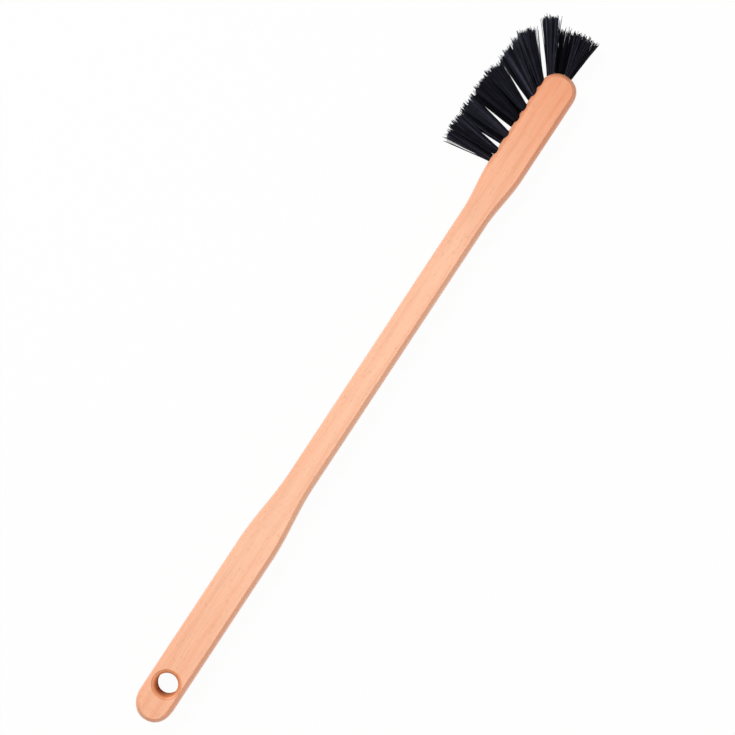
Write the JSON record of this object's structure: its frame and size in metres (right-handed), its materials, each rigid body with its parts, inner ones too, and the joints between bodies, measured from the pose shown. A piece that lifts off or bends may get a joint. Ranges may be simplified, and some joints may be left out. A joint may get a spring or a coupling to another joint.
{
  "type": "bottle brush",
  "caption": "Long flat wooden bottle brush with a hang hole in the grip and dark bristle tufts fanned along one edge and round the tip of the head.",
  "frame": {"origin": "on the flat back face, at the middle of the wood's length and width", "axes": "+X along the handle from the hang hole to the head, +Y towards the side that carries the bristles, +Z out of the front face"},
  "size_m": [0.3525, 0.0392, 0.014],
  "materials": {
    "beech": "smooth sanded, lightly oiled",
    "bristle": "black fibre with a soft sheen",
    "anchor_wire": "drawn flat wire"
  },
  "bodies": {
    "root": {"handle": "beech", "front_1_tuft": "bristle", "front_2_tuft": "bristle", "front_3_tuft": "bristle", "front_4_tuft": "bristle", "front_5_tuft": "bristle", "front_6_tuft": "bristle", "back_1_tuft": "bristle", "back_2_tuft": "bristle", "back_3_tuft": "bristle", "back_4_tuft": "bristle", "back_5_tuft": "bristle", "back_6_tuft": "bristle", "tip_1_tuft": "bristle", "tip_2_tuft": "bristle", "tip_3_tuft": "bristle", "front_1_anchor": "anchor_wire", "front_2_anchor": "anchor_wire", "front_3_anchor": "anchor_wire", "front_4_anchor": "anchor_wire", "front_5_anchor": "anchor_wire", "front_6_anchor": "anchor_wire", "back_1_anchor": "anchor_wire", "back_2_anchor": "anchor_wire", "back_3_anchor": "anchor_wire", "back_4_anchor": "anchor_wire", "back_5_anchor": "anchor_wire", "back_6_anchor": "anchor_wire", "tip_1_anchor": "anchor_wire", "tip_2_anchor": "anchor_wire", "tip_3_anchor": "anchor_wire"}
  },
  "joints": []
}
